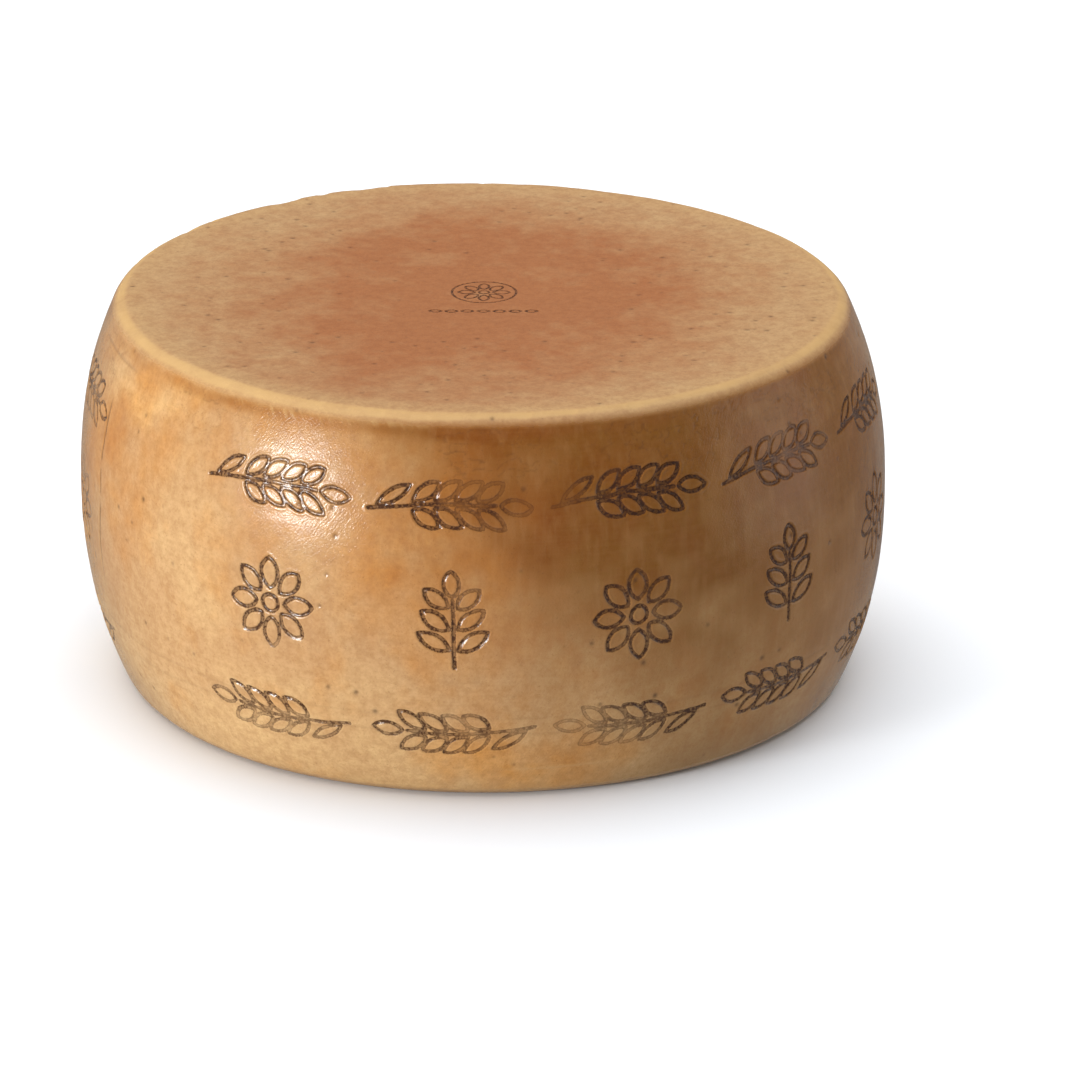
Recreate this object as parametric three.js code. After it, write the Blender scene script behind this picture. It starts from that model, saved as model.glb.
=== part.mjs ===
// A whole wheel of long-aged hard cheese, lying on one of its two flat faces.
// Millimetres, +Z up. The origin is the middle of the face that it rests on.
import * as THREE from 'three';
import { mergeVertices } from 'three/addons/utils/BufferGeometryUtils.js';

// Driving dimensions, in millimetres
const HEIGHT = 207; // from the lower face to the rim of the upper one
const BELLY_RADIUS = 215; // half the width at mid height, where the side bulges most
const FACE_RADIUS = 193; // where the bulged side would meet a face if the edge were sharp
const BULGE_POWER = 2.3; // 2 is a parabola, more is straighter at mid height
const TOP_EDGE_ROUND = 11; // radius of the rounding round the upper face
const BASE_EDGE_ROUND = 9.5; // radius of the rounding round the lower face

// Unevenness of a wheel that was salted and turned by hand
const LEAN_OVER = -1.5; // how far the upper face has slid along X over the lower one
const TOP_DISH = 1; // how far the middle of the upper face has sunk
const SIDE_SWELL = [
  { lobes: 2, height: 1.5, turn: 1.8 },
  { lobes: 3, height: 1.1, turn: 0.06 },
  { lobes: 5, height: 0.3, turn: 4.0 },
];

// How finely the solid is faceted
const STEPS_AROUND = 96;
const STEPS_UP_SIDE = 22;
const STEPS_OVER_EDGE = 5;
const STEPS_ACROSS_FACE = 5;
const MERGE_DISTANCE = 1e-4; // closes the seam and the two poles of the turned surface

const RIND_COLOUR = 0xc08a50;
const RIND_ROUGHNESS = 0.45;

// How far height z is from mid height: 0 at the belly, 1 at either face.
function reach(z) {
  return Math.abs((2 * z) / HEIGHT - 1);
}

// Radius of the bulged side at height z, with the edges still sharp.
function sideRadius(z) {
  return BELLY_RADIUS - (BELLY_RADIUS - FACE_RADIUS) * reach(z) ** BULGE_POWER;
}

// How steeply the side leans in at height z, as an angle from upright.
function sideLean(z) {
  const slope = ((BELLY_RADIUS - FACE_RADIUS) * BULGE_POWER * 2) / HEIGHT;
  return Math.atan(slope * reach(z) ** (BULGE_POWER - 1));
}

// Rounded edge between the side and a face, for the upper half of the wheel.
// The arc touches the side at height start and runs on to the flat of the face.
function edgeArc(round) {
  let start = HEIGHT - round;
  for (let pass = 0; pass < 20; pass += 1) {
    start = HEIGHT - round * (1 - Math.sin(sideLean(start)));
  }
  const lean = sideLean(start);
  const centre = sideRadius(start) - round * Math.cos(lean);
  const points = [];
  for (let step = 0; step <= STEPS_OVER_EDGE; step += 1) {
    const angle = THREE.MathUtils.lerp(lean, Math.PI / 2, step / STEPS_OVER_EDGE);
    const across = centre + round * Math.cos(angle);
    points.push(new THREE.Vector2(across, HEIGHT - round + round * Math.sin(angle)));
  }
  return points;
}

// Points of a flat face from the axis out to its rounded edge, without either end.
function facePoints(flatRadius, height) {
  const points = [];
  for (let step = 1; step < STEPS_ACROSS_FACE; step += 1) {
    points.push(new THREE.Vector2((flatRadius * step) / STEPS_ACROSS_FACE, height));
  }
  return points;
}

// Half section of the wheel, from the middle of the lower face to that of the upper.
function halfSection() {
  const topArc = edgeArc(TOP_EDGE_ROUND);
  const baseArc = edgeArc(BASE_EDGE_ROUND)
    .map((point) => new THREE.Vector2(point.x, HEIGHT - point.y))
    .reverse();
  const low = baseArc.at(-1).y;
  const high = topArc[0].y;
  const side = [];
  for (let step = 1; step < STEPS_UP_SIDE; step += 1) {
    const z = THREE.MathUtils.lerp(low, high, step / STEPS_UP_SIDE);
    side.push(new THREE.Vector2(sideRadius(z), z));
  }
  return [
    new THREE.Vector2(0, 0),
    ...facePoints(baseArc[0].x, 0),
    ...baseArc,
    ...side,
    ...topArc,
    ...facePoints(topArc.at(-1).x, HEIGHT).reverse(),
    new THREE.Vector2(0, HEIGHT),
  ];
}

// Outward swelling of the side at an angle round the axis.
function swelling(angle) {
  return SIDE_SWELL.reduce((sum, wave) => sum + wave.height * Math.cos(wave.lobes * angle + wave.turn), 0);
}

// Moves a point of the true solid of revolution to its place on the uneven one.
// The lower face stays flat, and the upper face has slid sideways and sunk a little.
function unevenPlace(place) {
  const outward = Math.hypot(place.x, place.y) / BELLY_RADIUS;
  const swollen = 1 + (outward ** 2 * swelling(Math.atan2(place.y, place.x))) / BELLY_RADIUS;
  const rise = place.z / HEIGHT;
  const sunk = TOP_DISH * (1 - outward ** 2) * rise ** 5;
  return new THREE.Vector3(place.x * swollen + LEAN_OVER * rise, place.y * swollen, place.z - sunk);
}

// Makes the wheel uneven, and brings the middle of its width and depth back over the origin.
function makeUneven(geometry) {
  const places = geometry.getAttribute('position');
  const place = new THREE.Vector3();
  for (let index = 0; index < places.count; index += 1) {
    place.fromBufferAttribute(places, index);
    places.setXYZ(index, ...unevenPlace(place));
  }
  geometry.computeBoundingBox();
  const middle = geometry.boundingBox.getCenter(new THREE.Vector3());
  geometry.translate(-middle.x, -middle.y, 0);
}

function wheelGeometry() {
  const turned = new THREE.LatheGeometry(halfSection(), STEPS_AROUND);
  turned.rotateX(Math.PI / 2);
  turned.deleteAttribute('normal');
  turned.deleteAttribute('uv');
  const closed = mergeVertices(turned, MERGE_DISTANCE);
  makeUneven(closed);
  closed.computeVertexNormals();
  return closed;
}

const rind = new THREE.MeshStandardMaterial({
  color: RIND_COLOUR,
  roughness: RIND_ROUGHNESS,
  metalness: 0,
});

const wheel = new THREE.Mesh(wheelGeometry(), rind);
wheel.name = 'cheese_wheel';

const group = new THREE.Group();
group.add(wheel);

export default group;
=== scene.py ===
"""A whole wheel of long-aged hard cheese: its oiled and brushed rind, over the fixed solid.

Lengths in the sizes below are millimetres unless a comment says otherwise. Meshes are made in metres.
The rind is one surface, cut into patches that meet edge to edge: eight round the side and four on each face.
Azimuths are degrees round the wheel: 0 faces the camera, 90 is its right side and -90 its left.
"""

import bpy
import numpy as np
from mathutils import Matrix, Vector


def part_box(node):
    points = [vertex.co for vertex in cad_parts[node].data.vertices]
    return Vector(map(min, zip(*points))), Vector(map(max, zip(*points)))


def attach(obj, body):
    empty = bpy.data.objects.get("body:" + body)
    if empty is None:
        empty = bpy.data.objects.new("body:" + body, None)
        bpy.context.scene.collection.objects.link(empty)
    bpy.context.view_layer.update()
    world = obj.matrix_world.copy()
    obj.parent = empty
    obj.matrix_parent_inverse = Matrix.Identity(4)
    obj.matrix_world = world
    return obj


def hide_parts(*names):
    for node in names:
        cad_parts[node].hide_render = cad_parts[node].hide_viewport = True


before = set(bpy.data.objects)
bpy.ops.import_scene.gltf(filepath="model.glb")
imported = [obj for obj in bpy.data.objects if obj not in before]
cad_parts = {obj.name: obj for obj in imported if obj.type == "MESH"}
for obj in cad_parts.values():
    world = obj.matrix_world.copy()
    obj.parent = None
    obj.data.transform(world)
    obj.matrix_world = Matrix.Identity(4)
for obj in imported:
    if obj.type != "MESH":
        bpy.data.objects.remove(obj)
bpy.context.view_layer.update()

MM = 0.001

# The wheel's own dimensions, as its solid has them
box_low, box_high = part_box("cheese_wheel")
BELLY_RADIUS = (box_high.x - box_low.x + box_high.y - box_low.y) / 4 / MM
FACE_RADIUS = 193.0
HEIGHT = 207.0
BULGE_POWER = 2.3
TOP_EDGE_ROUND = 11.0
BASE_EDGE_ROUND = 9.5
LEAN_OVER = -1.5
TOP_DISH = 1.0
SIDE_SWELL = ((2, 1.5, 1.8), (3, 1.1, 0.06), (5, 0.3, 4.0))

# How the rind is cut into patches. The seams between side and faces lie a little way in from the rounded
# edges, and the cells of a face crowd towards its middle.
SIDE_PATCHES = 8
CELLS_ROUND_PATCH = 256
CELLS_UP_PATCH = 344
FACE_PATCHES = 4
CELLS_ACROSS_FACE = {"top": 256, "base": 64}
FACE_CROWDING = 1.25
SEAM_INSET = 4.0
MAP_MARGIN = 0.003  # left free round the patch in its own square map, as a share of the square

# The stamped ornament. One column is left bare, beside the joint of the mould.
COLUMNS = 14
COLUMN_WIDTH = 2 * np.pi * BELLY_RADIUS / COLUMNS
BARE_AZIMUTH = -55.0
BELT_ROW = 60.0
STROKE_HALF = 0.9
STROKE_WALL = 0.45
STROKE_DEPTH = 0.85
LIP_HEIGHT = 0.16
MOULD_JOINT_AZIMUTH = -69.0
MIDDLE_STAMP_PLACE = (2.0, 3.0)
MIDDLE_STAMP_RADIUS = 17.0
FAR_FROM_STROKES = 9.0  # stands for any distance well beyond a stroke's lip
FARTHEST_KEPT = 4.0  # distances over this are cut to it in the masks

# Where years of oil have browned the side, and where painted shade darkens its front right: azimuths at
# which these begin, are full, start to fade and end, and their strength. They hold at the slant level, and
# lie further round by the slant, in degrees a millimetre, lower down. The first span, over the front right,
# is partly painted shade and partly browning.
BROWNED_AND_SHADED = ((-28, 14, 60, 112, 1.0), (146, 176, 206, 238, 0.75), (246, 262, 268, 290, 0.35))
BROWNING_AND_SHADE_SLANT = 0.16
SLANT_LEVEL = 180.0

# Smaller patches that glow orange or are pale: azimuth and height of the middle of each, half its width in
# degrees, half its height in millimetres, and its strength. The pale patch low on the left, at azimuth -76,
# is painted light on the foot.
ORANGE = (
    (-63, 146, 13, 42, 0.8), (-66, 200, 14, 7, 0.45), (-38, 196, 18, 12, 0.4), (-30, 142, 9, 16, 0.3),
    (-1, 165, 16, 76, 1.0), (6, 18, 14, 20, 0.75), (-15, 130, 7, 34, 0.3), (45, 165, 16, 30, 0.3),
    (118, 120, 14, 40, 0.6), (-150, 90, 14, 40, 0.6), (175, 180, 14, 20, 0.5), (-105, 120, 14, 40, 0.5),
)
PALE = (
    (-45, 110, 8, 40, 0.35), (-58, 186, 12, 9, 0.7), (-48, 198, 10, 5, 0.5), (-24, 55, 12, 14, 0.3),
    (-76, 30, 20, 42, 0.75), (30, 120, 15, 80, 0.8), (130, 50, 25, 25, 0.4), (-130, 40, 25, 25, 0.4),
)

# Direction in radians in which the red middle of the faces is longest
RED_TURN = np.radians(80)

# Thin creases round the side: height, first and last azimuth, and depth. A ridge's depth is below zero.
CREASES = (
    (193.0, -80, -63, 0.30), (18.5, 4, 20, -0.20), (50.0, -70, 60, 0.10), (40.5, -60, 40, 0.10),
    (188.0, 100, 150, 0.12), (24.0, -150, -110, 0.15), (170.0, -175, -150, 0.15),
)

# Light hairs where a brush swept the side under the rim, painted pale as bright glints: azimuth, millimetres
# over the middle of the rim, half the width in degrees, half the height in millimetres, and strength.
SWEPT_GLINTS = ((-30, -6, 9, 2.6, 1.0), (-14, -5, 7, 1.6, 0.7), (112, -7, 12, 3.0, 0.8), (-160, -6, 14, 2.5, 0.8))

# Depths and half widths of the smaller relief, and the pitch of the squares that hold one pit at most
CREASE_HALF = 0.8
JOINT_HALF = 0.9
JOINT_DEPTH = 0.5
CRACK_DEPTH = 0.12
CHIP_DEPTH = 0.8
HAIR_WIDTH = 1.3
HAIR_HEIGHT = 0.08
SIDE_PIT_DEPTH = 0.5
SIDE_PIT_PITCH = 14.0
FACE_PIT_DEPTH = 0.35
FACE_PIT_PITCH = 7.0

# The fine leathery ridges on the side climb to the right by this slope, and are stretched this many times
LEATHER_SLANT = 0.7
LEATHER_STRETCH = 2.4

SEED = 11


# Smooth noise. Where it is called, the number after the points is its size in millimetres, and the last one is
# a shift that only picks another part of the lattice.

LATTICE = 48
lattice_values = np.random.default_rng(SEED).uniform(-1, 1, (LATTICE,) * 3)


def noise(points, size, shift=0.0):
    """Smooth random field from -1 to 1. Values on a lattice of that size are blended by the smoothstep of the
    place between them, first along x, then y, then z."""
    place = np.asarray(points) / size + shift
    whole = np.floor(place)
    part = place - whole
    part = part * part * (3 - 2 * part)
    near = whole.astype(int) % LATTICE
    far = (near + 1) % LATTICE
    total = 0.0
    for dx, x in ((1 - part[..., 0], near[..., 0]), (part[..., 0], far[..., 0])):
        for dy, y in ((1 - part[..., 1], near[..., 1]), (part[..., 1], far[..., 1])):
            for dz, z in ((1 - part[..., 2], near[..., 2]), (part[..., 2], far[..., 2])):
                total = total + dx * dy * dz * lattice_values[x, y, z]
    return total


def clouds(points, size, shift=0.0):
    """Three smooth noises added, each half as large and half as strong as the one before."""
    finer = 0.5 * noise(points, size / 2, shift + 7.3) + 0.25 * noise(points, size / 4, shift + 14.9)
    return noise(points, size, shift) + finer


def smooth(low, high, value):
    """Smoothstep of value between low and high, from 0 to 1."""
    part = np.clip((value - low) / (high - low), 0, 1)
    return part * part * (3 - 2 * part)


def blend(first, second, share):
    """The first value where the share is 0, the second where it is 1."""
    return first + (second - first) * share


def thin_lines(points, size, shift, width):
    """Network of thin lines, 1 on a line: they lie where a smooth noise crosses zero."""
    return 1 - smooth(0.0, width, np.abs(noise(points, size, shift) + 0.35 * noise(points, size / 3, shift)))


# The wheel's form

def reach(z):
    """How far height z is from mid height: 0 at the belly, 1 at a face."""
    return np.abs(2 * z / HEIGHT - 1)


def side_radius(z):
    """Radius of the bulged side before its edges are rounded: it falls with the reach to a power."""
    return BELLY_RADIUS - (BELLY_RADIUS - FACE_RADIUS) * reach(z) ** BULGE_POWER


def side_lean(z):
    """Angle by which the side leans in from upright: the slope of side_radius."""
    return np.arctan((BELLY_RADIUS - FACE_RADIUS) * BULGE_POWER * 2 / HEIGHT * reach(z) ** (BULGE_POWER - 1))


def edge_arc(rounding):
    """Arc that touches the side and the upper face, as radii and heights, from the side on."""
    start = HEIGHT - rounding
    for _ in range(20):
        start = HEIGHT - rounding * (1 - np.sin(side_lean(start)))
    lean = side_lean(start)
    angle = np.linspace(lean, np.pi / 2, 120)
    middle = side_radius(start) - rounding * np.cos(lean)
    return middle + rounding * np.cos(angle), HEIGHT - rounding + rounding * np.sin(angle)


top_arc_r, top_arc_z = edge_arc(TOP_EDGE_ROUND)
base_arc_r, base_arc_z = edge_arc(BASE_EDGE_ROUND)
TOP_SEAM = top_arc_r[-1] - SEAM_INSET
BASE_SEAM = base_arc_r[-1] - SEAM_INSET
side_z = np.linspace(HEIGHT - base_arc_z[0], top_arc_z[0], 1500)[1:-1]
section_r = np.concatenate([[BASE_SEAM], base_arc_r[::-1], side_radius(side_z), top_arc_r, [TOP_SEAM]])
section_z = np.concatenate([[0.0], HEIGHT - base_arc_z[::-1], side_z, top_arc_z, [HEIGHT]])
section_s = np.concatenate([[0.0], np.cumsum(np.hypot(np.diff(section_r), np.diff(section_z)))])
SECTION_LENGTH = section_s[-1]
MID_SECTION = np.interp(HEIGHT / 2, section_z[1:-1], section_s[1:-1])
RIM_SECTION = section_s[-2] - (section_s[-2] - section_s[-121]) / 2


def lopsided(x, y, z):
    """The solid's unevenness: low waves round the axis swell the side, the upper part slides over the lower
    one along x, and the middle of the upper face sinks."""
    outward = np.hypot(x, y) / BELLY_RADIUS
    turn = np.arctan2(y, x)
    swelling = sum(height * np.cos(lobes * turn + phase) for lobes, height, phase in SIDE_SWELL)
    grown = 1 + outward**2 * swelling / BELLY_RADIUS
    rise = z / HEIGHT
    return np.stack([x * grown + LEAN_OVER * rise, y * grown, z - TOP_DISH * (1 - outward**2) * rise**5], -1)


def middle_of_box():
    """Middle in x and y of the box round the lopsided side."""
    turn, z = np.meshgrid(np.linspace(0, 2 * np.pi, 721), np.linspace(0, HEIGHT, 208))
    places = lopsided(side_radius(z) * np.cos(turn), side_radius(z) * np.sin(turn), z).reshape(-1, 3)
    return (places.min(0) + places.max(0)) / 2 * (1, 1, 0)


BOX_MIDDLE = middle_of_box()


def uneven(x, y, z):
    """Lopsided form with the middle of its box on the axis, as the solid has it."""
    return lopsided(x, y, z) - BOX_MIDDLE


# The stamped ornament, as distances to its strokes in the plane of the unrolled side. Coordinates are
# millimetres from the middle of each motif, to the right and up.

def leaf(u, v, foot, tip, half_width):
    """Signed distance to a leaf, the overlap of two equal discs whose rims cross at its foot and tip."""
    (foot_u, foot_v), (tip_u, tip_v) = foot, tip
    half = np.hypot(tip_u - foot_u, tip_v - foot_v) / 2
    way_u, way_v = (tip_u - foot_u) / (2 * half), (tip_v - foot_v) / (2 * half)
    from_u, from_v = u - (foot_u + tip_u) / 2, v - (foot_v + tip_v) / 2
    along = np.abs(from_u * way_u + from_v * way_v)
    across = np.abs(from_v * way_u - from_u * way_v)
    radius = (half**2 + half_width**2) / (2 * half_width)
    back = radius - half_width
    inside = np.hypot(along, across + back) - radius
    return np.where((along - half) * back > across * half, np.hypot(along - half, across), inside)


def stem(u, v, foot, tip):
    """Distance to a straight stroke from foot to tip."""
    du, dv = tip[0] - foot[0], tip[1] - foot[1]
    share = np.clip(((u - foot[0]) * du + (v - foot[1]) * dv) / (du * du + dv * dv), 0, 1)
    return np.hypot(u - foot[0] - share * du, v - foot[1] - share * dv)


def ear(u, v):
    """Lying ear of grain: four pairs of outlined grains along a bowed stem, one at the tip, a blade below."""
    v = v - 3.5 * np.cos(np.pi * u / 90)
    strokes = [stem(u, v, (-43, 0), (24, 0))]
    strokes += [leaf(u, v, (-38, 1.6), (-21, 10.5), 3.0), leaf(u, v, (26.5, 0), (42.5, 0), 3.8)]
    for along in -19 + 11.2 * np.arange(4):
        strokes += [leaf(u, side * v, (along, 2.4), (along + 13.5, 11.5), 3.7) for side in (1, -1)]
    return np.min(np.abs(strokes), axis=0)


def rosette(u, v):
    """Flower of eight outlined petals round a ring."""
    strokes = [np.hypot(u, v) - 4.6]
    for turn in np.pi / 4 * np.arange(8):
        c, s = np.cos(turn), np.sin(turn)
        strokes.append(leaf(u, v, (8.2 * c, 8.2 * s), (24 * c, 24 * s), 4.6))
    return np.min(np.abs(strokes), axis=0)


def twig(u, v):
    """Upright twig: three pairs of outlined leaves, each shorter than the last, and one at the tip."""
    strokes = [stem(u, v, (0, -25), (0, 12)), leaf(u, v, (0, 14), (0, 27), 4.0)]
    for pair in range(3):
        foot = -15 + 11.5 * pair
        strokes += [leaf(side * u, v, (2.4, foot), (18 - 2 * pair, foot + 9.5), 3.9) for side in (1, -1)]
    return np.min(np.abs(strokes), axis=0)


# How far each mark of the three belts is turned in radians, shifted, unevenly pressed and hard pressed
hand = np.random.default_rng(SEED + 1)
stamp_turn = hand.normal(0, 0.02, (3, COLUMNS))
stamp_shift = hand.normal(0, 0.8, (3, COLUMNS, 2))
stamp_slope = hand.normal(0, 0.010, (3, COLUMNS, 2))
stamp_force = hand.uniform(0.55, 1.0, (3, COLUMNS))


def stamped(u, v, row, motif):
    """One belt of marks. Each sits a little askew in its column and is pressed harder at one end. Gives the
    distance to the middle of its nearest stroke, and how hard the mark is pressed there. Column 0 is bare."""
    place = u / COLUMN_WIDTH
    column = np.floor(place).astype(int) % COLUMNS
    across = (place % 1 - 0.5) * COLUMN_WIDTH - stamp_shift[row, column, 0]
    up = v - stamp_shift[row, column, 1]
    c, s = np.cos(stamp_turn[row, column]), np.sin(stamp_turn[row, column])
    across, up = c * across + s * up, c * up - s * across
    slope = stamp_slope[row, column]
    force = stamp_force[row, column] + slope[..., 0] * across + slope[..., 1] * up
    return np.where(column == 0, FAR_FROM_STROKES, motif(column, across, up)), force


def ornament(turn, s, point):
    """Distance to the middle of the nearest stroke on the side, bent a little as soft curd takes a stamp, and
    how hard it is pressed."""
    from_bare = np.degrees(turn) + 90 - BARE_AZIMUTH + 180 / COLUMNS
    u = np.radians(from_bare % 360) * BELLY_RADIUS + 0.5 * noise(point, 9.0, 3.3)
    v = s - MID_SECTION + 0.5 * noise(point, 9.0, 7.7)
    belts = [
        stamped(u, v - BELT_ROW, 0, lambda column, across, up: ear(across, up)),
        stamped(u, v, 1, lambda column, x, y: np.where(column % 2, rosette(x, y), twig(x, y))),
        stamped(u, v + BELT_ROW, 2, lambda column, across, up: ear(-across, -up)),
    ]
    distances, forces = np.array([d for d, _ in belts]), np.array([f for _, f in belts])
    nearest = distances.argmin(0)[None]
    return np.take_along_axis(distances, nearest, 0)[0], np.take_along_axis(forces, nearest, 0)[0]


def middle_stamp(x, y):
    """Distance to the small stamp in the middle of the upper face: a ring round an eight-petalled flower, over
    a row of small leaves."""
    u, v = x - MIDDLE_STAMP_PLACE[0], y - MIDDLE_STAMP_PLACE[1]
    strokes = [np.hypot(u, v) - MIDDLE_STAMP_RADIUS, rosette(u * 1.75, v * 1.75) / 1.75]
    strokes += [leaf(u, v, (along - 3.2, -31), (along + 3.2, -31), 1.8) for along in 8.4 * np.arange(-3, 4)]
    return np.min(np.abs(strokes), axis=0)


# The rind's relief

def groove(distance, depth):
    """Groove with a flat floor and sloping walls, and a low lip pushed up beside it."""
    floor = 1 - smooth(STROKE_HALF - STROKE_WALL, STROKE_HALF + STROKE_WALL, distance)
    lip = np.exp(-(((distance - STROKE_HALF - 0.9) / 0.55) ** 2))
    return depth * (LIP_HEIGHT * lip - STROKE_DEPTH * floor)


scatter = np.random.default_rng(SEED + 2)
PIT_CELLS = 96
pit_place = scatter.uniform(0.15, 0.85, (PIT_CELLS, PIT_CELLS, 2))
pit_size = scatter.uniform(0.4, 1.0, (PIT_CELLS, PIT_CELLS)) ** 2
pit_draw = scatter.uniform(0, 1, (PIT_CELLS, PIT_CELLS))


def pits(u, v, pitch, share):
    """Small pits, one at most in each square of a grid of that pitch, where its draw is under the share there.
    Each is a round dent that fades with the square of the distance from its middle. 1 is the deepest."""
    a, b = u / pitch, v / pitch
    deepest = np.zeros_like(a)
    for step_a in (-1, 0, 1):
        for step_b in (-1, 0, 1):
            row, column = np.floor(a).astype(int) + step_a, np.floor(b).astype(int) + step_b
            key = (row % PIT_CELLS, column % PIT_CELLS)
            away = np.hypot(a - row - pit_place[key][..., 0], b - column - pit_place[key][..., 1])
            dent = pit_size[key] * np.exp(-((away * pitch / (0.5 + 0.9 * pit_size[key])) ** 2))
            deepest = np.maximum(deepest, np.where(pit_draw[key] < share, dent, 0))
    return deepest


def patches_of(azimuth, z, spots):
    """Soft patches, each a bell over its middle. Each covers its share of what those before it left bare."""
    bare = 1.0
    for middle, height, half_width, half_height, strength in spots:
        along = ((azimuth - middle + 180) % 360 - 180) / half_width
        bare = bare * (1 - strength * np.exp(-(along**2) - ((z - height) / half_height) ** 2))
    return 1 - bare


def browning_and_shade_of(azimuth, z):
    """Browning of the side, with painted shade over its front right, strongest high up: it sets in and fades
    out round the wheel as the table of browned spans tells.
    """
    slanted = azimuth - BROWNING_AND_SHADE_SLANT * (SLANT_LEVEL - z)
    total = 0.0
    for first, full, fading, last, strength in BROWNED_AND_SHADED:
        along = (slanted - first + 60) % 360 - 60
        shown = smooth(0, full - first, along) * smooth(last - first, fading - first, along)
        total = total + strength * shown
    return total * (0.6 + 0.4 * smooth(30, 150, z))


def redness_of(x, y):
    """How red a face is at a place on it: full in the middle, fading towards the edge, further off one way."""
    point = np.stack([x, y, np.zeros_like(x)], -1)
    wander = 9.0 * clouds(point, 50.0, 71.0)
    c, s = np.cos(RED_TURN), np.sin(RED_TURN)
    along, across = c * x + s * (y + 8), c * (y + 8) - s * x
    from_middle = np.hypot(0.76 * along + wander, 0.94 * across - 0.7 * wander)
    mottles = 0.15 * clouds(point, 30.0, 95.0) + 0.15 * clouds(point, 8.0, 97.0)
    return np.clip(smooth(180, 60, from_middle) + mottles, 0, 1)


def face_edge(x, y):
    """How near the edge of its face a place is, from 0 well inside to 1 at the edge."""
    return smooth(TOP_SEAM - 14, TOP_SEAM + 4, np.hypot(x, y))


def grain(point):
    """Low waves and soft pebbling of the rind, in millimetres outward."""
    return 0.35 * noise(point, 52.0, 0.2) + 0.12 * noise(point, 17.0, 5.1) + 0.05 * noise(point, 5.5, 9.4)


def section_at(s):
    """Radius and height at a length along the section, and the outward and upward parts of its normal, from the
    section a short step before and after."""
    step = 0.3
    r = np.interp(s, section_s, section_r)
    z = np.interp(s, section_s, section_z)
    dr = np.interp(s + step, section_s, section_r) - np.interp(s - step, section_s, section_r)
    dz = np.interp(s + step, section_s, section_z) - np.interp(s - step, section_s, section_z)
    length = np.hypot(dr, dz)
    return r, z, dz / length, -dr / length


def leathery_place(turn, z):
    """Coordinates in metres for the fine ridges. They twist round the axis with height and are squeezed along
    it, so that even noise in them makes slanting ridges, longer than wide."""
    twisted = turn - LEATHER_SLANT * z / BELLY_RADIUS
    place = [BELLY_RADIUS * np.cos(twisted), BELLY_RADIUS * np.sin(twisted), z / LEATHER_STRETCH]
    return np.stack(place, -1) * MM


def mould_joint(azimuth, point):
    """Upright line where the mould closed, 1 on it. It wanders a little and shows in pieces."""
    height_alone = point * (0, 0, 1)
    z = point[..., 2]
    off = np.radians(azimuth - MOULD_JOINT_AZIMUTH) * BELLY_RADIUS + 2.2 * noise(height_alone, 21.0, 4.4)
    shown = smooth(-0.1, 0.2, noise(height_alone, 9.0, 8.8)) * smooth(60, 105, z) * smooth(176, 166, z)
    return np.exp(-((off / JOINT_HALF) ** 2)) * shown


def side_stains(azimuth, point):
    """Browning, orange and pale of the side: the patches of the lists above, carried about by clouds, with
    finer clouds and upright streaks over them. The foot is the palest. Over the front right the browning is
    partly painted shade, and low on the left the paleness is painted light."""
    z = point[..., 2]
    wander = 4.0 * clouds(point, 34.0, 21.0)
    lift = 12.0 * clouds(point, 34.0, 25.0)
    streaks = clouds(point * (1, 1, 0.16), 7.0, 31.0)
    browning = browning_and_shade_of(azimuth + wander, z + lift)
    browning = browning + (0.04 + 0.1 * browning) * clouds(point, 20.0, 41.0) + 0.02 * streaks
    orange = patches_of(azimuth + wander, z + lift, ORANGE) - 0.06 + 0.05 * streaks
    orange = orange + 0.32 * clouds(point, 26.0, 43.0) + 0.18 * clouds(point, 8.0, 46.0)
    pale = patches_of(azimuth + wander, z + lift, PALE) + 0.2 + 0.65 * smooth(80, 2, z)
    pale = pale + 0.08 * streaks + 0.15 * clouds(point, 24.0, 44.0)
    return browning, orange, pale


def rubbed_and_highlit_rim(azimuth, from_rim, point):
    """Band along the upper edge, partly rubbed pale by handling and partly a painted highlight of the rounded
    edge, 1 on it. It is narrower at the left and starts higher at the right."""
    start = 1.8 * smooth(-15, 12, azimuth) * smooth(90, 60, azimuth)
    width = 4.2 + 1.3 * noise(point, 60.0, 54.0) - 1.2 * smooth(-35, -75, azimuth)
    band = smooth(-3.2, -1.0, from_rim - start) * smooth(width + 1.4, width - 1.4, from_rim)
    return band * np.clip(0.85 + 0.3 * clouds(point, 16.0, 51.0), 0, 1)


def band_under_rim(azimuth, from_rim, point):
    """Darker band just under the rim, a bell over its middle that clouds break up, strongest at the front."""
    band = np.exp(-(((from_rim + 7.5) / 4.0) ** 2)) * np.clip(0.7 + 0.5 * clouds(point, 30.0, 52.0), 0, 1)
    return band * (0.35 + 0.65 * smooth(60, 35, np.abs(azimuth)))


def foot_band(s, point):
    """Band along the lower edge that the shelf has rubbed, a bell over its middle that clouds break up."""
    return np.exp(-(((s - 12.0) / 8.0) ** 2)) * np.clip(0.6 + 0.5 * clouds(point, 20.0, 53.0), 0, 1)


def cracks(point):
    """Fine cracks in patches of the highest part of the side, 1 on a crack."""
    z = point[..., 2]
    cracked = smooth(168, 184, z) * smooth(207, 196, z) * smooth(0.0, 0.5, noise(point, 45.0, 61.0) + 0.35)
    return cracked * thin_lines(point * (1, 1, 2.2), 9.0, 63.0, 0.10)


def chips(azimuth, s, point):
    """Small chips out of the upper edge, 1 or a little more at the deepest, most of them at the back left."""
    chipped = smooth(0.1, 0.6, noise(point, 8.0, 71.0)) * np.exp(-(((s - RIM_SECTION - 1.0) / 4.5) ** 2))
    return chipped * (0.3 + 0.9 * smooth(45, 15, np.abs(azimuth + 147)))


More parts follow.
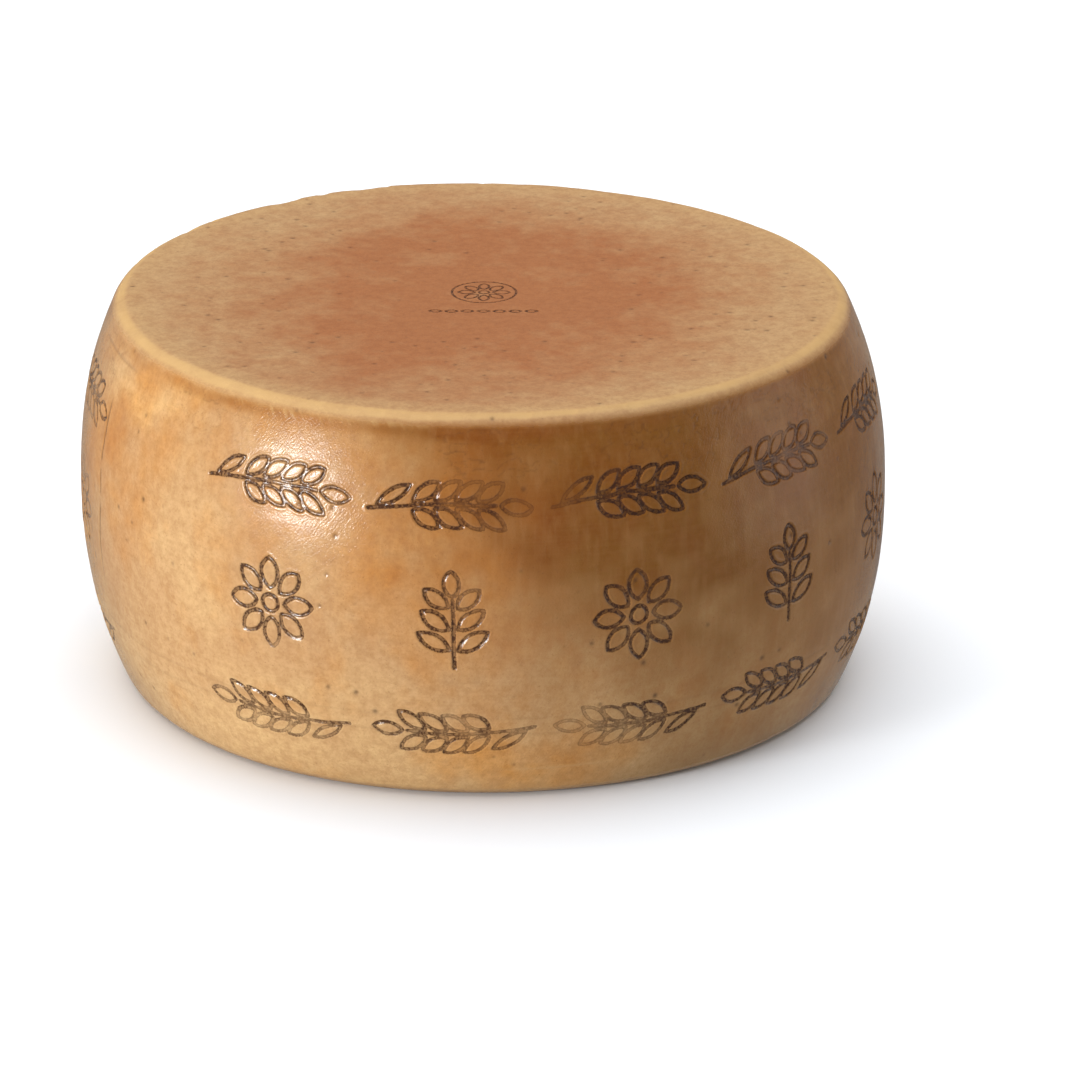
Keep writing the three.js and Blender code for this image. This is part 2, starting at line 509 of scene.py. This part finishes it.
def brushed_hairs_and_glints(turn, azimuth, z, from_rim):
    """Thin hairs that lean to the right on their way down, 1 on a hair: noise squeezed round the wheel. They
    are brush scratches, and their paleness is partly a painted glint.
    """
    leaned = turn + z / 240
    place = np.stack([BELLY_RADIUS * np.cos(leaned), BELLY_RADIUS * np.sin(leaned), 0.2 * z], -1)
    return smooth(0.0, 0.5, noise(place, HAIR_WIDTH, 85.0)) * patches_of(azimuth, from_rim, SWEPT_GLINTS)


def creases(azimuth, point):
    """Depth of the creases of the list above, each a bell across its line, which wanders up and down."""
    level = point[..., 2] + 1.2 * noise(point * (1, 1, 0), 34.0, 83.0)
    total = 0.0
    for height, first, last, depth in CREASES:
        shown = smooth(first - 3, first + 3, azimuth) * smooth(last + 3, last - 3, azimuth)
        total = total + depth * shown * np.exp(-(((level - height) / CREASE_HALF) ** 2))
    return total


def side_surface(turn, s):
    """Points and masks of the side at an angle round the axis and a length along the section."""
    r, z, out_r, out_z = section_at(s)
    point = np.stack([r * np.cos(turn), r * np.sin(turn), z], -1)
    azimuth = (np.degrees(turn) + 270) % 360 - 180
    flatness = smooth(0.35, 0.97, np.abs(out_z))
    from_rim = s - RIM_SECTION + 0.7 * noise(point, 24.0, 50.0)

    stroke, force = ornament(turn, s, point)
    stroke = stroke + 0.16 * noise(point, 2.6, 18.5)
    pressed = np.clip(force + 0.34 * noise(point, 22.0, 12.5) + 0.3 * noise(point, 5.0, 15.5), 0.1, 1.15)

    joint = mould_joint(azimuth, point)
    cracked = cracks(point)
    chipped = chips(azimuth, s, point)
    creased = creases(azimuth, point)
    hairs_and_glints = brushed_hairs_and_glints(turn, azimuth, z, from_rim)
    # Round the wheel the squares of the pits are 1/96 turn wide, so that their grid closes on itself
    round_wheel = np.degrees(turn) / 360 * PIT_CELLS * SIDE_PIT_PITCH
    pitted = pits(round_wheel, s, SIDE_PIT_PITCH, 0.16 + 0.1 * noise(point, 50.0, 81.0))

    browning, orange, pale = side_stains(azimuth, point)
    under_rim = band_under_rim(azimuth, from_rim, point)
    browning = browning + 0.55 * under_rim
    orange = orange + 0.6 * under_rim
    # Rubbed pale at rim, foot and chips; the rim band is also a painted highlight and the hairs painted glints
    rubbed = np.maximum(rubbed_and_highlit_rim(azimuth, from_rim, point), 0.3 * foot_band(s, point))
    rubbed = rubbed + 0.5 * chipped + 0.45 * hairs_and_glints - 2.0 * np.minimum(creased, 0)

    rise = grain(point) + groove(stroke, pressed) - JOINT_DEPTH * joint - CRACK_DEPTH * cracked
    rise = rise - CHIP_DEPTH * chipped - SIDE_PIT_DEPTH * pitted - creased + HAIR_HEIGHT * hairs_and_glints
    rise = rise * smooth(0.0, 3.0, z)
    x, y = point[..., 0] + rise * out_r * np.cos(turn), point[..., 1] + rise * out_r * np.sin(turn)
    # Where the side turns over into a face, its masks become those of the face
    masks = {
        "stroke": np.minimum(stroke, FARTHEST_KEPT),
        "pressed": pressed,
        "browning": blend(np.clip(browning, 0, 1), redness_of(point[..., 0], point[..., 1]), flatness),
        "orange": np.clip(orange, 0, 1) * (1 - flatness),
        "pale": blend(np.clip(pale, 0, 1), face_edge(point[..., 0], point[..., 1]), flatness),
        "rubbed": np.clip(rubbed, 0, 1),
        "grime": np.clip(0.9 * joint + 0.35 * cracked + pitted + 1.2 * creased, 0, 1),
        "flatness": flatness,
        "leathery": leathery_place(turn, z),
    }
    return uneven(x, y, z + rise * out_z), masks


def face_surface(x, y, top):
    """Points and masks of a flat face at a place on it."""
    z = np.full_like(x, HEIGHT if top else 0.0)
    point = np.stack([x, y, z], -1)
    stroke, pressed, rise = np.full_like(x, FARTHEST_KEPT), np.full_like(x, 0.8), 0.0
    # Pits crowd in patches, more of them away from the middle
    outer = smooth(60, 150, np.hypot(x - 40, y + 10))
    spotted = 0.3 * smooth(0.1, 0.7, noise(point, 45.0, 99.0) + 0.3 * outer)
    pitted = pits(x + 1000, y + 1000, FACE_PIT_PITCH, 0.03 + spotted)
    if top:
        # The strokes of this stamp are thinner and shallower than those of the side
        stroke = np.minimum(middle_stamp(x, y) * 1.7, FARTHEST_KEPT)
        rise = grain(point) + groove(stroke, 0.45) - FACE_PIT_DEPTH * pitted
    masks = {
        "stroke": stroke,
        "pressed": pressed,
        "browning": redness_of(x, y),
        "orange": np.zeros_like(x),
        "pale": face_edge(x, y),
        "rubbed": np.zeros_like(x),
        "grime": np.clip(0.8 * pitted, 0, 1),
        "flatness": np.ones_like(x),
        "leathery": point * MM,
    }
    return uneven(x, y, z + rise), masks


# Meshes

def patch(name, surface, first, second, turned_in, bake_map):
    """Mesh of a surface over a grid. Its normals are those of the surface itself, from the points one cell
    before and after each point, so that they agree where patches meet."""
    wide_a = np.concatenate([[2 * first[0] - first[1]], first, [2 * first[-1] - first[-2]]])
    wide_b = np.concatenate([[2 * second[0] - second[1]], second, [2 * second[-1] - second[-2]]])
    grid_a, grid_b = np.meshgrid(wide_a, wide_b, indexing="ij")
    points, masks = surface(grid_a, grid_b)
    along_a = points[2:, 1:-1] - points[:-2, 1:-1]
    along_b = points[1:-1, 2:] - points[1:-1, :-2]
    normals = np.cross(along_a, along_b)
    normals /= np.linalg.norm(normals, axis=-1, keepdims=True)
    points = points[1:-1, 1:-1] * MM
    rows, columns = len(first), len(second)
    index = np.arange(rows * columns).reshape(rows, columns)
    corners = np.stack([index[:-1, :-1], index[1:, :-1], index[1:, 1:], index[:-1, 1:]], -1).reshape(-1, 4)
    if turned_in:
        corners, normals = corners[:, ::-1], -normals
    mesh = bpy.data.meshes.new(name)
    mesh.from_pydata(points.reshape(-1, 3), [], corners)
    for mask, values in masks.items():
        kind, field = ("FLOAT_VECTOR", "vector") if values.ndim == 3 else ("FLOAT", "value")
        layer = mesh.attributes.new(mask, kind, "POINT")
        layer.data.foreach_set(field, values[1:-1, 1:-1].astype(np.float32).ravel())
    uv = np.stack(bake_map(grid_a, grid_b), -1)[1:-1, 1:-1].reshape(-1, 2)
    loops = np.empty(len(mesh.loops), int)
    mesh.loops.foreach_get("vertex_index", loops)
    mesh.uv_layers.new(name="OFBake").data.foreach_set("uv", uv[loops].astype(np.float32).ravel())
    mesh.normals_split_custom_set_from_vertices(normals.reshape(-1, 3))
    piece = bpy.data.objects.new(name, mesh)
    bpy.context.scene.collection.objects.link(piece)
    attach(piece, "root")
    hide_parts("cheese_wheel")
    return piece


def inset(share):
    """Keeps a map's coordinates a hair inside its square."""
    return MAP_MARGIN + (1 - 2 * MAP_MARGIN) * share


def side_patches():
    """Eight equal sectors of the side, from the seam on the lower face to the seam on the upper one."""
    s = np.linspace(0, SECTION_LENGTH, CELLS_UP_PATCH + 1)
    width = 2 * np.pi / SIDE_PATCHES
    made = []
    for number in range(SIDE_PATCHES):
        start = number * width
        turn = start + np.linspace(0, width, CELLS_ROUND_PATCH + 1)
        made.append(patch(
            f"rind_side_{number + 1}", side_surface, turn, s, False,
            lambda a, b, start=start: (inset((a - start) / width), inset(b / SECTION_LENGTH)),
        ))
    return made


def disc_place(a, b, seam):
    """Place on a disc for a place on a square: nested squares become circles, crowded towards the middle."""
    ring = np.maximum(np.abs(a), np.abs(b))
    ring = np.where(ring == 0, 1e-9, ring)
    wider = np.abs(a) >= np.abs(b)
    from_right = np.pi / 4 * b / np.where(wider, a, 1)
    from_top = np.pi / 2 - np.pi / 4 * a / np.where(wider, 1, b)
    turn = np.where(wider, from_right, from_top) + np.where(np.where(wider, a, b) < 0, np.pi, 0)
    radius = seam * ring**FACE_CROWDING
    return radius * np.cos(turn), radius * np.sin(turn)


def face_patches(face):
    """Four quarters of a flat face, each a quarter of the square that disc_place bends to a disc."""
    seam = TOP_SEAM if face == "top" else BASE_SEAM
    steps = np.linspace(0, 1, CELLS_ACROSS_FACE[face] + 1)
    made = []
    for number in range(FACE_PATCHES):
        a = steps if number in (0, 3) else steps - 1
        b = steps if number < 2 else steps - 1
        made.append(patch(
            f"rind_{face}_{number + 1}",
            lambda p, q: face_surface(*disc_place(p, q, seam), face == "top"),
            a, b, face == "base",
            lambda p, q: [inset(np.abs(place) / seam) for place in disc_place(p, q, seam)],
        ))
    return made


# Materials

def linear(hex_colour):
    """Linear colour of an sRGB hex value."""
    parts = np.array([int(hex_colour[i:i + 2], 16) for i in (1, 3, 5)]) / 255
    return (*np.where(parts <= 0.04045, parts / 12.92, ((parts + 0.055) / 1.055) ** 2.4), 1.0)


def add(tree, kind, inputs=None, **settings):
    """Adds a node with its settings, and gives each input a value or another node's output."""
    made = tree.nodes.new(kind)
    for name, value in settings.items():
        setattr(made, name, value)
    for name, value in (inputs or {}).items():
        if isinstance(value, bpy.types.NodeSocket):
            tree.links.new(value, made.inputs[name])
        else:
            made.inputs[name].default_value = value
    return made


def rind_material():
    """Aged rind, oiled and brushed: dry curd stained by months of oiling, so it is waxy and mottled, darker
    where the oil stays in the stamped strokes and paler where handling rubs the edges. Its brown also paints
    shade over the front right of the side. Its pale paints a highlight along the upper edge, glints on the
    brushed hairs and light low on the left."""
    material = bpy.data.materials.new("oiled_cheese_rind")
    material.use_nodes = True
    tree = material.node_tree
    tree.nodes.clear()
    place = add(tree, "ShaderNodeTexCoord").outputs["Object"]

    def mask(name):
        """One of the masks that the mesh carries."""
        return add(tree, "ShaderNodeAttribute", attribute_name=name).outputs["Fac"]

    def carry(value, low, high, new_low=0.0, new_high=1.0, way="SMOOTHSTEP"):
        """Carries a value from one range to another, and holds it there."""
        parts = {"Value": value, "From Min": low, "From Max": high, "To Min": new_low, "To Max": new_high}
        return add(tree, "ShaderNodeMapRange", parts, interpolation_type=way).outputs[0]

    def field(size, low, high, stretch=(1, 1, 1), detail=3.0, shift=0.0):
        """Noise of that size in millimetres, cut to 0 at low and 1 at high."""
        scaled = add(tree, "ShaderNodeMapping", {"Vector": place, "Scale": stretch, "Location": (shift,) * 3})
        parts = {"Vector": scaled.outputs[0], "Scale": 1 / (size * MM), "Detail": detail, "Roughness": 0.55}
        return carry(add(tree, "ShaderNodeTexNoise", parts).outputs[0], low, high)

    def reckon(operation, first, second=0.0, third=0.0):
        """Sum, product or other result of two or three values."""
        return add(tree, "ShaderNodeMath", {0: first, 1: second, 2: third}, operation=operation).outputs[0]

    def tint(under, over, amount, strength=1.0, way="MIX"):
        """Lays one colour over another, or glazes it with one, by an amount and at most by a strength. The Mix
        node takes its share at socket 0 and colours at 6 and 7, and gives a colour at 2."""
        share = add(tree, "ShaderNodeMath", {0: amount, 1: strength}, operation="MULTIPLY", use_clamp=True)
        over = linear(over) if isinstance(over, str) else over
        parts = {0: share.outputs[0], 6: under, 7: over}
        return add(tree, "ShaderNodeMix", parts, data_type="RGBA", blend_type=way).outputs[2]

    # Patterns in the rind: soft mottles, fine ones, upright and lying streaks, and dark specks
    mottled = field(5.0, 0.35, 0.7, detail=4.0, shift=0.11)
    fine_mottled = field(1.6, 0.4, 0.65, detail=2.0, shift=0.17)
    upright = field(4.5, 0.42, 0.72, (1, 1, 0.14), detail=2.0, shift=0.23)
    lying = field(1.6, 0.4, 0.7, (0.07, 0.07, 1), detail=2.0, shift=0.37)
    specks = field(1.1, 0.66, 0.76, detail=1.0, shift=0.53)

    # The side is golden, paler at the foot and amber brown where the oil has gone deepest. The amber brown also
    # paints shade over the front right, and low on the left the paleness is painted light.
    side = tint(linear("#b2885c"), "#cea975", mask("pale"))
    side = tint(side, "#76480a", mask("browning"))
    side = tint(side, "#f9d79e", mask("orange"), way="MULTIPLY")
    side = tint(side, "#8a5622", mottled, 0.28)
    side = tint(side, "#7c4c20", fine_mottled, 0.14)
    side = tint(side, "#c9a573", upright, 0.05)
    side = tint(side, "#8f6236", lying, 0.08)
    side = tint(side, "#573419", specks, 0.25)
    # A face is tan at its edge and terracotta in the middle
    face = tint(linear("#b38e62"), "#9c6237", mask("browning"))
    face = tint(face, "#b89363", mask("pale"), 0.6)
    face = tint(face, "#7a4526", mottled, 0.24)
    face = tint(face, "#6b3a1c", fine_mottled, 0.16)
    face = tint(face, "#5f3b25", specks, 0.3)
    colour = tint(side, face, mask("flatness"))
    # Pale of rubbed wear, also a painted highlight along the upper edge and painted glints on brushed hairs
    colour = tint(colour, "#bd9863", mask("rubbed"), 0.85)
    colour = tint(colour, "#3f2514", mask("grime"), 0.7)

    # Strokes are dark brown, in beads along the middle, with a darker line at each wall where they are faint
    ragged = reckon("MULTIPLY_ADD", field(0.9, 0.2, 0.8, detail=2.0, shift=0.71), 0.5, -0.25)
    stroke = reckon("ADD", mask("stroke"), ragged)
    inside = carry(stroke, 1.3, 0.8)
    at_wall = reckon("MULTIPLY", carry(stroke, 0.4, 0.8), inside)
    pressed = carry(mask("pressed"), 0.15, 0.75, 0.35, 1.0, "LINEAR")
    beads = reckon("MULTIPLY_ADD", field(1.5, 0.4, 0.6, detail=0.0, shift=0.83), 0.45, 0.55)
    core = reckon("MULTIPLY", reckon("MULTIPLY", inside, pressed), beads)
    stained = reckon("MAXIMUM", core, reckon("MULTIPLY", at_wall, reckon("MULTIPLY_ADD", pressed, 0.5, 0.4)))
    colour = tint(colour, "#381906", stained, 0.92)

    # Slanting leathery ridges on the side and a fine grain all over, both too small for the mesh
    leathery = add(tree, "ShaderNodeAttribute", attribute_name="leathery").outputs["Vector"]
    ridges = add(tree, "ShaderNodeTexNoise", {"Vector": leathery, "Scale": 1 / (1.05 * MM), "Detail": 1.0})
    fine = add(tree, "ShaderNodeTexNoise", {"Vector": place, "Scale": 1 / (0.9 * MM), "Detail": 2.0})
    upright_part = reckon("SUBTRACT", 1.0, mask("flatness"))
    relief = reckon("MULTIPLY_ADD", ridges.outputs[0], upright_part, fine.outputs[0])
    bump = add(tree, "ShaderNodeBump", {"Height": relief, "Distance": 0.15 * MM, "Strength": 0.7})
    # The oiled side is glossy, the faces and rubbed edges are duller
    gloss = reckon("MULTIPLY_ADD", mottled, 0.05, 0.19)
    gloss = reckon("MULTIPLY_ADD", mask("flatness"), 0.26, gloss)
    gloss = reckon("MULTIPLY_ADD", mask("rubbed"), 0.08, gloss)
    parts = {"Base Color": colour, "Roughness": gloss, "IOR": 1.5, "Normal": bump.outputs[0]}
    shader = add(tree, "ShaderNodeBsdfPrincipled", parts)
    add(tree, "ShaderNodeOutputMaterial", {"Surface": shader.outputs[0]})
    return material


def floor_material():
    """Matt white studio paper."""
    material = bpy.data.materials.new("white_studio_paper")
    material.use_nodes = True
    shader = material.node_tree.nodes["Principled BSDF"]
    shader.inputs["Base Color"].default_value = linear("#f1f5fa")
    shader.inputs["Roughness"].default_value = 0.9
    return material


# The studio

# Camera fitted to the wheel's outline: its place, its tilt down and roll in degrees, and its lens and sensor
CAMERA_PLACE = (30.43, -3210.8, 1297.2)
CAMERA_TILT = 20.975
CAMERA_ROLL = 0.198
CAMERA_LENS = 213.47
SENSOR_WIDTH = 36.0
FARTHEST_SEEN = 100.0  # metres
FLOOR_HALF_WIDTH = 12000.0

# Lamps: azimuth and elevation in degrees, then distance, width and height of the diffuser in metres, and power
# in watts. The main lamp is small and low, and leaves the oval highlight on the upper left of the side.
LAMPS = {
    "main_lamp": (-49.5, 7.2, 1.6, 0.38, 0.30, 17.8),
    "right_card": (88, 4, 2.0, 1.3, 1.3, 4.0),
    "overhead_scrim": (180, 80, 2.8, 4.4, 4.4, 155),
}
LIGHT_ALL_ROUND = 0.28


def make_camera():
    """Camera before the wheel, tilted down, fitted to the wheel's outline."""
    camera = bpy.data.objects.new("camera", bpy.data.cameras.new("camera"))
    bpy.context.scene.collection.objects.link(camera)
    camera.data.lens = CAMERA_LENS
    camera.data.sensor_width = SENSOR_WIDTH
    camera.data.clip_end = FARTHEST_SEEN
    camera.location = Vector(CAMERA_PLACE) * MM
    tilt = Matrix.Rotation(np.radians(90 - CAMERA_TILT), 3, "X")
    camera.rotation_euler = (tilt @ Matrix.Rotation(np.radians(CAMERA_ROLL), 3, "Z")).to_euler()
    bpy.context.scene.camera = camera


def soft_box(name, azimuth, elevation, distance, width, height, power):
    """Lamp with a diffuser of that width and height in metres, which faces the wheel's middle."""
    lamp = bpy.data.lights.new(name, "AREA")
    lamp.shape, lamp.size, lamp.size_y, lamp.energy = "RECTANGLE", width, height, power
    holder = bpy.data.objects.new(name, lamp)
    bpy.context.scene.collection.objects.link(holder)
    a, e = np.radians(azimuth), np.radians(elevation)
    way = Vector((np.sin(a) * np.cos(e), -np.cos(a) * np.cos(e), np.sin(e)))
    target = Vector((0, 0, HEIGHT / 2 * MM))
    holder.location = target + way * distance
    holder.rotation_euler = way.to_track_quat("Z", "Y").to_euler()
    return holder


def make_studio():
    """White paper floor, the lamps and faint light all round. Neither floor nor scrim shows in the gloss."""
    floor_mesh = bpy.data.meshes.new("floor")
    half = FLOOR_HALF_WIDTH * MM
    corners = [(-half, -half, 0), (half, -half, 0), (half, half, 0), (-half, half, 0)]
    floor_mesh.from_pydata(corners, [], [(0, 1, 2, 3)])
    floor = bpy.data.objects.new("floor", floor_mesh)
    floor.data.materials.append(floor_material())
    bpy.context.scene.collection.objects.link(floor)
    world = bpy.data.worlds.new("studio")
    world.use_nodes = True
    world.node_tree.nodes["Background"].inputs["Color"].default_value = (1, 1, 1, 1)
    world.node_tree.nodes["Background"].inputs["Strength"].default_value = LIGHT_ALL_ROUND
    bpy.context.scene.world = world
    lamps = {name: soft_box(name, *setting) for name, setting in LAMPS.items()}
    for broad in (lamps["overhead_scrim"], floor):
        broad.visible_glossy = False
    bpy.context.scene.view_settings.view_transform = "Standard"


make_camera()
make_studio()
rind = rind_material()
for piece in [*side_patches(), *face_patches("top"), *face_patches("base")]:
    piece.data.materials.append(rind)
